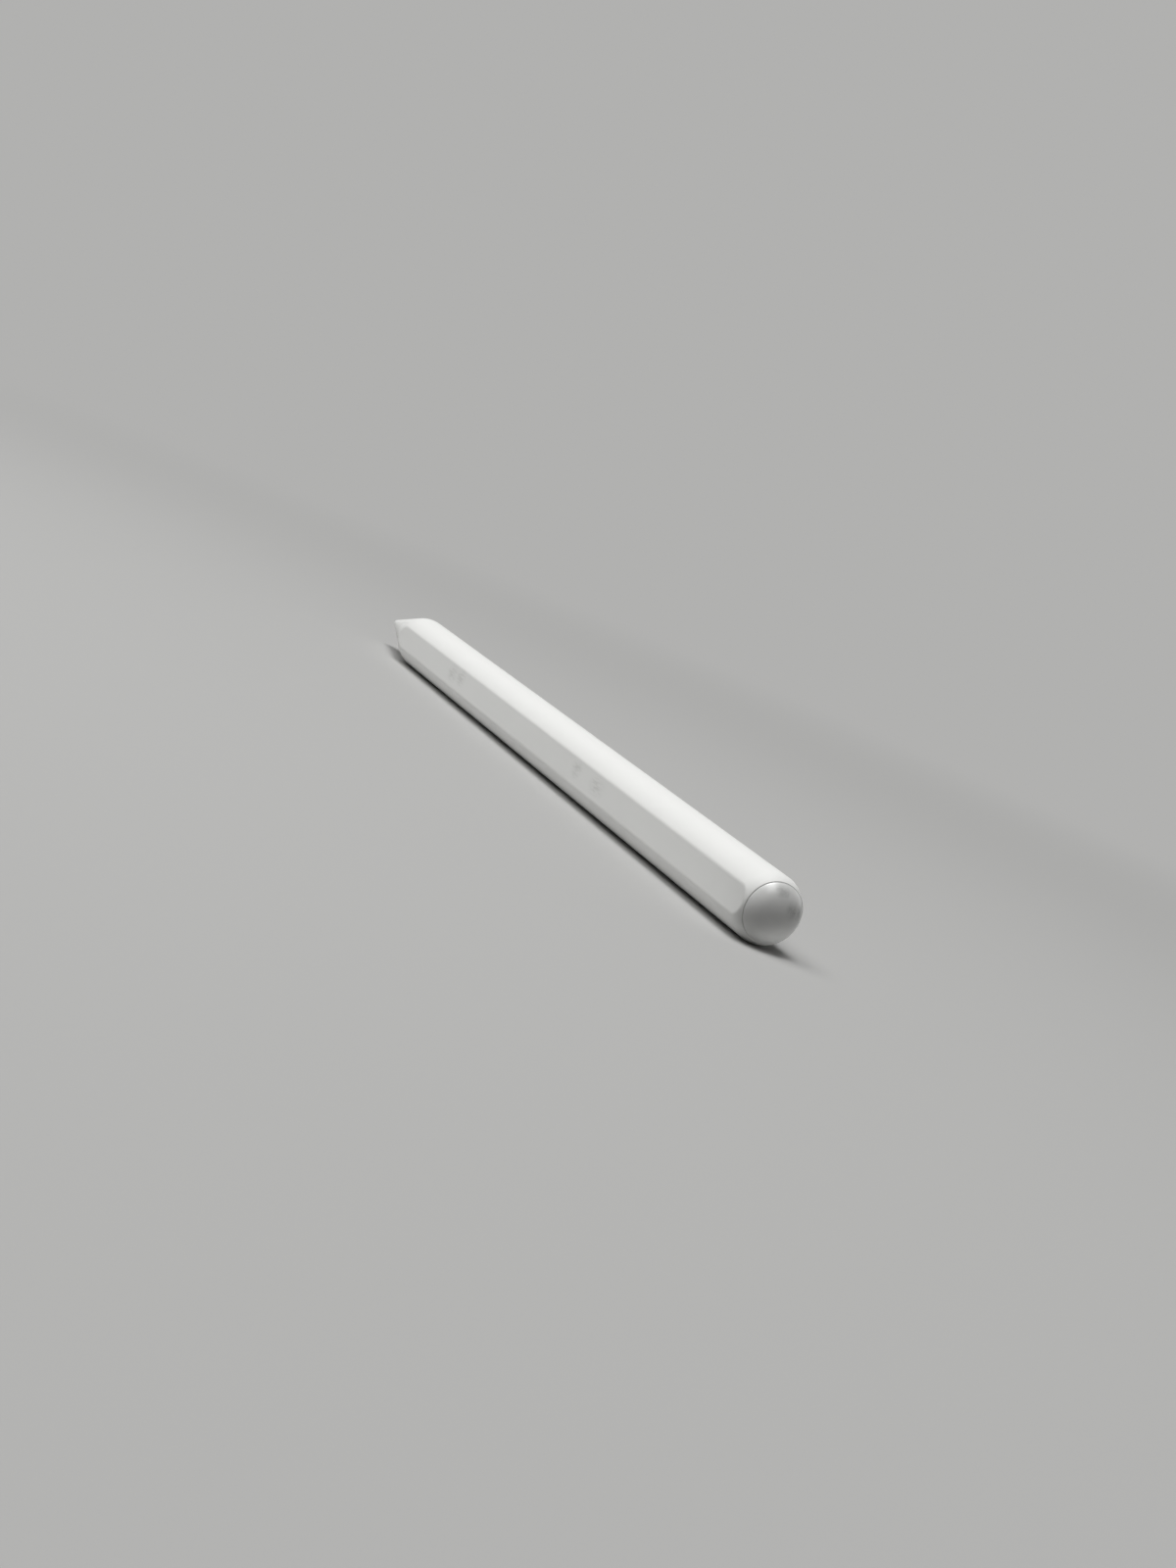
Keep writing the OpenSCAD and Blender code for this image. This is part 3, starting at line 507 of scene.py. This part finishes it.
def ragged(tree, place, size, push):
    """Coordinates moved about by noise of a size, times a push, so that marks on them get ragged outlines."""
    stir = made(tree, "ShaderNodeTexNoise", {"Vector": place, "Scale": 1 / size, "Detail": 2.0})
    centred = made(tree, "ShaderNodeVectorMath", {0: stir.outputs["Color"], 1: NOISE_MEAN},
                   operation="SUBTRACT")
    moved = made(tree, "ShaderNodeVectorMath", {0: centred.outputs[0], 1: (push, push, push), 2: place},
                 operation="MULTIPLY_ADD")
    return moved.outputs[0]


def bumped(tree, shader, height, depth, strength):
    """Surface relief of the given depth in metres on a shader."""
    bump = made(tree, "ShaderNodeBump", {"Height": height, "Distance": depth, "Strength": strength})
    tree.links.new(bump.outputs["Normal"], shader.inputs["Normal"])


def stained(tree, shader, tone, amount, share, stain):
    """Colour of a shader: a tone, blended towards a stain by amount times share."""
    mixed = blended(tree, combined(tree, "MULTIPLY", amount, share), tone, stain)
    tree.links.new(mixed, shader.inputs["Base Color"])


def roughened(tree, shader, rough, amount, more):
    """Roughness of a shader: a value, plus more where the amount is 1."""
    total = combined(tree, "ADD", rough, combined(tree, "MULTIPLY", amount, more))
    tree.links.new(total, shader.inputs["Roughness"])


# Worn places: centre and reach in millimetres, height counted from the axis
FLAT_Y = -FLAT_OUT / MM
FLAT_SCUFFS = [
    ((24.5, FLAT_Y, 0.3), (2.6, 1.0, 1.7)),
    ((32.6, FLAT_Y, 0.1), (3.4, 1.0, 1.8)),
    ((-30.8, FLAT_Y, 0.4), (3.0, 1.0, 1.7)),
    ((-35.0, FLAT_Y, 0.2), (3.2, 1.0, 1.8)),
]
DOME_SMUDGES = [
    ((82.2, -0.35, 2.85), (1.3, 1.25, 0.95)),
    ((82.5, 1.6, 1.1), (1.3, 1.3, 1.4)),
    ((82.0, 2.7, 1.0), (1.2, 0.9, 1.3)),
]
PATCH_FULL = 0.9

# Barrel: lighter and darker tone, sizes of its patterns, roughness, relief as depth and strength, and scuffs
BARREL_TONES = ((0.843, 0.845, 0.828), (0.818, 0.82, 0.803))
BARREL_IOR = 1.44
BARREL_CLOUD = 18 * MM
BARREL_GRAIN = 0.12 * MM
BARREL_ROUGH = (0.46, 0.56)
BARREL_RELIEF = (0.004 * MM, 0.5)
SCUFF_TONE = (0.48, 0.48, 0.46)
SCUFF_SHARE = 0.42
SCUFF_ROUGH = 0.15
SCUFF_STREAK = 0.2 * MM
SCUFF_LEAST = 0.15

# End cap: the same, with a clear coat, fine hairlines and smudges
CAP_TONES = ((0.822, 0.824, 0.808), (0.792, 0.794, 0.78))
CAP_IOR = 1.6
CAP_COAT_ROUGH = 0.3
CAP_CLOUD = 3 * MM
CAP_HAIRLINE = 0.4 * MM
HAIRLINE_RANGE = (0.35, 0.7)
CAP_ROUGH = (0.28, 0.36)
CAP_RELIEF = (0.001 * MM, 0.3)
SMUDGE_TONE = (0.2, 0.205, 0.195)
SMUDGE_SHARE = 0.6
SMUDGE_ROUGH = 0.25
SMUDGE_GRAIN = 0.12 * MM
SMUDGE_LEAST = 0.35
SMUDGE_RAG = 0.9 * MM

# Nib: the same, with its point worn smoother
NIB_TONES = ((0.838, 0.84, 0.822), (0.813, 0.815, 0.797))
NIB_IOR = 1.49
NIB_GRAIN = 0.1 * MM
NIB_ROUGH = (0.5, 0.3)
NIB_RELIEF = (0.006 * MM, 0.6)
WEAR_TONE = (0.5, 0.5, 0.49)
WEAR_SHARE = 0.3
WEAR_REACH = Vector((1.6, 1.2, 1.2)) * MM
WEAR_FULL = 0.8
WEAR_LEAST = 0.3

# Inner pieces: usual roughness and relief, the broad tone change in grains, and the waver of fine lines
USUAL_ROUGH = (0.4, 0.55)
GRAIN_RELIEF = (0.004 * MM, 0.6)
GRAIN_RANGE = (0.1, 0.4)
BROAD_GRAINS = 14
BROAD_OFFSET = (3, 1, 2)
LINE_WAVER = 0.4
LINE_STRENGTH = 0.5
LINE_RELIEF = 0.01 * MM
LINE_GRAINS = 3
LINE_RANGE = (0.2, 0.7)
LINE_LEAST = 0.5
WAVE_RATE = 20


def satin_white():
    """Moulded barrel: white with a fine grain, an uneven sheen and faint grey scuffs on the flat."""
    material, tree, shader, place = plain_material("satin_white_barrel", IOR=BARREL_IOR)
    broad = noise(tree, place, BARREL_CLOUD, (3, 1, 1))
    grain = noise(tree, place, BARREL_GRAIN, detail=4)
    tone = blended(tree, ramp(tree, broad, *MOST), *BARREL_TONES)
    streaks = noise(tree, place, SCUFF_STREAK, (9, 1, 1), detail=2)
    patches = ramp(tree, spots(tree, place, FLAT_SCUFFS), 0.0, PATCH_FULL)
    worn = combined(tree, "MULTIPLY", patches, ramp(tree, streaks, *MOST, SCUFF_LEAST, 1.0))
    stained(tree, shader, tone, worn, SCUFF_SHARE, SCUFF_TONE)
    roughened(tree, shader, ramp(tree, broad, *NEARLY_ALL, *BARREL_ROUGH), worn, SCUFF_ROUGH)
    bumped(tree, shader, grain, *BARREL_RELIEF)
    return material


def glossy_white():
    """Polished end cap: clear gloss with hair-fine marks and a few soft rubbed smudges."""
    material, tree, shader, place = plain_material(
        "glossy_white_cap", IOR=CAP_IOR, Coat_Weight=1.0, Coat_Roughness=CAP_COAT_ROUGH)
    tone = blended(tree, ramp(tree, noise(tree, place, CAP_CLOUD), *MOST), *CAP_TONES)
    mottling = ramp(tree, noise(tree, place, SMUDGE_GRAIN), *NEARLY_ALL, SMUDGE_LEAST, 1.0)
    patches = spots(tree, ragged(tree, place, SMUDGE_RAG, SMUDGE_RAG), DOME_SMUDGES)
    rubbed = combined(tree, "MULTIPLY", ramp(tree, patches, 0.0, PATCH_FULL), mottling)
    stained(tree, shader, tone, rubbed, SMUDGE_SHARE, SMUDGE_TONE)
    hairline = noise(tree, place, CAP_HAIRLINE, (1, 4, 0.4))
    roughened(tree, shader, ramp(tree, hairline, *HAIRLINE_RANGE, *CAP_ROUGH), rubbed, SMUDGE_ROUGH)
    bumped(tree, shader, hairline, *CAP_RELIEF)
    return material


def matte_white():
    """Hard nib: matte white with a fine grain, a little polished and greyed at its point by use."""
    material, tree, shader, place = plain_material("matte_white_nib", IOR=NIB_IOR)
    grain = noise(tree, place, NIB_GRAIN, detail=4)
    near_point = spot(tree, place, (POINT_X, 0, AXIS_Z), WEAR_REACH)
    speckle = ramp(tree, grain, *MOST, WEAR_LEAST, 1.0)
    rubbed = combined(tree, "MULTIPLY", ramp(tree, near_point, 0.0, WEAR_FULL), speckle)
    tone = blended(tree, ramp(tree, grain, *NEARLY_ALL), *NIB_TONES)
    stained(tree, shader, tone, rubbed, WEAR_SHARE, WEAR_TONE)
    tree.links.new(ramp(tree, near_point, 0.0, 1.0, *NIB_ROUGH), shader.inputs["Roughness"])
    bumped(tree, shader, grain, *NIB_RELIEF)
    return material


def grained(name, light, dark, size, stretch=(1, 1, 1), rough=USUAL_ROUGH, metallic=0.0):
    """Finish whose colour, roughness and relief all follow one noise, such as brushed metal or plastic."""
    material, tree, shader, place = plain_material(name, metallic)
    grain = noise(tree, place, size, stretch, 4.0)
    broad = noise(tree, place, size * BROAD_GRAINS, stretch, 2.0, BROAD_OFFSET)
    both = combined(tree, "MULTIPLY", grain, broad)
    tone = blended(tree, ramp(tree, both, *GRAIN_RANGE), dark, light)
    tree.links.new(tone, shader.inputs["Base Color"])
    tree.links.new(ramp(tree, grain, *NEARLY_ALL, *rough), shader.inputs["Roughness"])
    bumped(tree, shader, grain, *GRAIN_RELIEF)
    return material


def lined(name, light, dark, pitch, direction, rough, metallic=0.0, depth=LINE_RELIEF):
    """Finish with fine parallel lines a pitch apart, such as turned metal, wound wire or printed tracks.

    The wave turns by rate times scale in each metre, so its scale is a full turn over rate times pitch.
    """
    material, tree, shader, place = plain_material(name, metallic)
    lines = made(tree, "ShaderNodeTexWave", {
        "Vector": place,
        "Scale": 2 * math.pi / (WAVE_RATE * pitch),
        "Distortion": LINE_WAVER,
        "Detail": 1.0,
    }, bands_direction=direction).outputs["Fac"]
    grain = noise(tree, place, pitch * LINE_GRAINS)
    both = combined(tree, "MULTIPLY", lines, ramp(tree, grain, *LINE_RANGE, LINE_LEAST, 1.0))
    tree.links.new(blended(tree, both, dark, light), shader.inputs["Base Color"])
    tree.links.new(ramp(tree, grain, *NEARLY_ALL, *rough), shader.inputs["Roughness"])
    bumped(tree, shader, lines, depth, LINE_STRENGTH)
    return material


def slot_finishes():
    """Finish of each slot that the frame's own nodes wear: lighter tone, darker tone, size of the pattern."""
    return {
        "brass": lined(
            "turned_brass", (0.80, 0.60, 0.30), (0.62, 0.44, 0.19), 0.06 * MM, "X",
            rough=(0.18, 0.3), metallic=1.0, depth=0.004 * MM),
        "steel": grained(
            "brushed_steel", (0.66, 0.66, 0.67), (0.46, 0.46, 0.47), 0.05 * MM,
            stretch=(14, 1, 1), rough=(0.25, 0.4), metallic=1.0),
        "black_plastic": grained(
            "black_plastic", (0.055, 0.055, 0.06), (0.03, 0.03, 0.033), 0.09 * MM),
        "grey_plastic": grained(
            "grey_plastic", (0.34, 0.34, 0.35), (0.25, 0.25, 0.26), 0.09 * MM),
        "aluminium": lined(
            "milled_aluminium", (0.78, 0.78, 0.80), (0.6, 0.6, 0.62), 0.09 * MM, "X",
            rough=(0.25, 0.4), metallic=1.0, depth=0.004 * MM),
        "circuit_board": lined(
            "solder_mask", (0.035, 0.2, 0.11), (0.02, 0.11, 0.06), 0.35 * MM, "Z",
            rough=(0.25, 0.4)),
        "flex_film": lined(
            "amber_film", (0.62, 0.30, 0.07), (0.42, 0.19, 0.04), 0.2 * MM, "Z",
            rough=(0.25, 0.35)),
        "copper": lined(
            "wound_copper", (0.78, 0.42, 0.25), (0.42, 0.19, 0.1), 0.12 * MM, "X",
            rough=(0.25, 0.4), metallic=1.0, depth=0.03 * MM),
        "ferrite": grained(
            "ferrite", (0.14, 0.14, 0.15), (0.07, 0.07, 0.075), 0.06 * MM,
            rough=(0.5, 0.7)),
        "magnet": grained(
            "nickel_plate", (0.74, 0.73, 0.71), (0.58, 0.57, 0.55), 0.15 * MM,
            rough=(0.12, 0.24), metallic=1.0),
        "cell_can": grained(
            "wrapped_can", (0.45, 0.52, 0.6), (0.36, 0.42, 0.5), 0.2 * MM,
            stretch=(1, 4, 4), rough=(0.3, 0.45)),
        "tungsten": grained(
            "sintered_metal", (0.36, 0.36, 0.37), (0.22, 0.22, 0.23), 0.07 * MM,
            metallic=1.0),
    }


def dress_nodes(finishes, replaced):
    """Give every frame node that stays in view its slot's finish."""
    for part in frame["record"]["subparts"]:
        if part["node"] in replaced:
            continue
        mesh = frame["nodes"][part["node"]].data
        mesh.materials.clear()
        mesh.materials.append(finishes[part["material_slot"]])


# Studio floor: flat, then a quarter circle up into a round wall
FLOOR_R = 0.9
SWEEP_R = 0.7
WALL_TOP = 1.1
FLOOR_RINGS = 30
SWEEP_RINGS = 32
FLOOR_SPOKES = 120

# Paper on it: its tone near the pen, the even grey further off, and where one fades into the other
PAPER = (0.425, 0.424, 0.417)
FAR_PAPER = (0.44, 0.439, 0.432)
PAPER_ROUGH = 0.9
NEAR_REACH = 0.1
FAR_REACH = 0.45

# Tones of what it throws back on to the pen, which paint light and shade on it: from beside it, paler than
# the paper looks, for painted light on the pen's underside; from before the dome, dark, for painted shade on
# the dome's middle; from the dome's foot, bright, for painted light on its lower rim
BOUNCE = (0.48, 0.48, 0.473)
FRONT_BOUNCE = (0.02, 0.02, 0.0195)
FRONT_START = -0.004
FRONT_END = 0.005
FOOT_BOUNCE = (0.95, 0.95, 0.94)
FOOT_PLACE = (POLE_X, 0.003, 0)
FOOT_REACH = (0.006, 0.006, 0.006)
FOOT_EDGE = 0.6


def sweep_floor():
    """Floor turned about the upright axis: flat to its radius, a quarter circle upwards, a straight wall."""
    reach = np.linspace(FLOOR_R / FLOOR_RINGS, FLOOR_R, FLOOR_RINGS)
    a = np.linspace(0, math.pi / 2, SWEEP_RINGS)[1:]
    outline = np.vstack([
        np.column_stack([reach, np.zeros(FLOOR_RINGS)]),
        np.column_stack([FLOOR_R + SWEEP_R * np.sin(a), SWEEP_R * (1 - np.cos(a))]),
        [[FLOOR_R + SWEEP_R, WALL_TOP]],
    ])
    turn = np.linspace(0, 2 * math.pi, FLOOR_SPOKES, endpoint=False)
    grid = np.stack([
        outline[:, :1] * np.cos(turn),
        outline[:, :1] * np.sin(turn),
        np.broadcast_to(outline[:, 1:], (len(outline), FLOOR_SPOKES)),
    ], axis=-1)
    points = np.vstack([grid.reshape(-1, 3), np.zeros((1, 3))])
    faces = strip_faces(len(outline), FLOOR_SPOKES)[:, ::-1].tolist()
    faces += fan_faces(np.arange(FLOOR_SPOKES), len(points) - 1)[:, ::-1].tolist()
    mesh = bpy.data.meshes.new("studio_floor")
    mesh.from_pydata(points.tolist(), [], faces)
    mesh.polygons.foreach_set("use_smooth", np.ones(len(faces), dtype=bool))
    mesh.materials.append(studio_paper())
    floor = bpy.data.objects.new("studio_floor", mesh)
    bpy.context.scene.collection.objects.link(floor)


def studio_paper():
    """Matte paper: lit and shadowed near the pen, fading to an even grey that only the lens and gloss see.

    The light that it throws back on to the pen has its own colours, which paint light and shade on the pen:
    paler than the paper looks beside it, weak in front of the dome for painted shade on the dome's middle,
    and strong on a small patch at the dome's foot for painted light on its lower rim.
    """
    material, tree, shader, place = plain_material("studio_paper", Roughness=PAPER_ROUGH)
    path = made(tree, "ShaderNodeLightPath").outputs
    mirrored = combined(tree, "MAXIMUM", path["Is Glossy Ray"], path["Is Transmission Ray"])
    seen = combined(tree, "MAXIMUM", path["Is Camera Ray"], mirrored)
    along = made(tree, "ShaderNodeSeparateXYZ", {0: place}).outputs["X"]
    front = ramp(tree, along, POLE_X + FRONT_START, POLE_X + FRONT_END)
    foot = ramp(tree, spot(tree, place, FOOT_PLACE, FOOT_REACH), 0.0, FOOT_EDGE)
    # Bounce colours: painted light on the pen's underside and the dome's foot, painted shade on the dome's
    # middle
    bounce = blended(tree, foot, blended(tree, front, BOUNCE, FRONT_BOUNCE), FOOT_BOUNCE)
    tree.links.new(blended(tree, seen, bounce, PAPER), shader.inputs["Base Color"])
    distance = made(tree, "ShaderNodeVectorMath", {0: place}, operation="LENGTH").outputs["Value"]
    far = made(tree, "ShaderNodeEmission", {"Color": (*FAR_PAPER, 1)})
    share = combined(tree, "MULTIPLY", seen, ramp(tree, distance, NEAR_REACH, FAR_REACH))
    mixed = made(tree, "ShaderNodeMixShader", {0: share, 1: shader.outputs[0], 2: far.outputs[0]})
    tree.links.new(mixed.outputs[0], tree.nodes["Material Output"].inputs["Surface"])
    return material


def soft_lamp(name, place, aim, size, power):
    """Rectangular area lamp that looks from its place at its aim, and that the camera does not see."""
    lamp = bpy.data.lights.new(name, "AREA")
    lamp.shape = "RECTANGLE"
    lamp.size, lamp.size_y = size
    lamp.energy = power
    holder = bpy.data.objects.new(name, lamp)
    bpy.context.scene.collection.objects.link(holder)
    turn = (Vector(aim) - Vector(place)).to_track_quat("-Z", "Y").to_matrix().to_4x4()
    holder.matrix_world = Matrix.Translation(place) @ turn
    holder.visible_camera = False


# Lamps: place, size and power in watts, all aimed at the floor under the middle of the pen, and a dim room
LAMP_AIM = (0, 0, 0)
LAMPS = {
    "key_lamp": ((-0.14, -0.41, 0.89), (0.7, 0.8), 7.0),
    "overhead_lamp": ((0.06, -0.12, 1.0), (0.25, 0.5), 3.6),
    "dome_lamp": ((0.40, -0.10, 0.93), (0.3, 0.7), 1.85),
    "far_side_lamp": ((-0.5, 1.0, 0.45), (1.0, 0.5), 0.6),
}
ROOM_LEVEL = 0.02


def studio_light():
    """Soft lamps on the flat's side and overhead, weaker ones for the dome and the far side, and the room."""
    for name, (place, size, power) in LAMPS.items():
        soft_lamp(name, place, LAMP_AIM, size, power)
    world = bpy.data.worlds.new("studio_room")
    world.use_nodes = True
    world.node_tree.nodes["Background"].inputs["Strength"].default_value = ROOM_LEVEL
    bpy.context.scene.world = world


def photo_camera():
    """Camera at the measured place, aimed at the pen and rolled about its own line of sight."""
    lens = bpy.data.cameras.new("photo_camera")
    lens.lens = CAMERA_LENS
    lens.sensor_width = SENSOR
    lens.clip_start = CLIP_START
    lens.clip_end = CLIP_END
    camera = bpy.data.objects.new("photo_camera", lens)
    bpy.context.scene.collection.objects.link(camera)
    turn = (CAMERA_AIM - CAMERA_PLACE).to_track_quat("-Z", "Y").to_matrix().to_4x4()
    camera.matrix_world = Matrix.Translation(CAMERA_PLACE) @ turn @ Matrix.Rotation(CAMERA_ROLL, 4, "Z")
    bpy.context.scene.camera = camera


photo_camera()
studio_light()
sweep_floor()
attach(mesh_piece("barrel_shell", *barrel_shape(), satin_white(), "white_shell", "barrel"), PEN_BODY)
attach(mesh_piece("end_cap_dome", *end_cap_shape(), glossy_white(), "white_cap", "end_cap"), PEN_BODY)
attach(mesh_piece("nib_tip", *nib_shape(), matte_white(), "white_nib", "nib"), NIB_BODY)
finishes = slot_finishes()
for node, (body, push_r, rim_w) in SPRINGS.items():
    spring_disc(node, body, push_r, rim_w, finishes["steel"])
dress_nodes(finishes, {"barrel", "end_cap", "nib", *SPRINGS})

bpy.context.scene.view_settings.view_transform = "Standard"
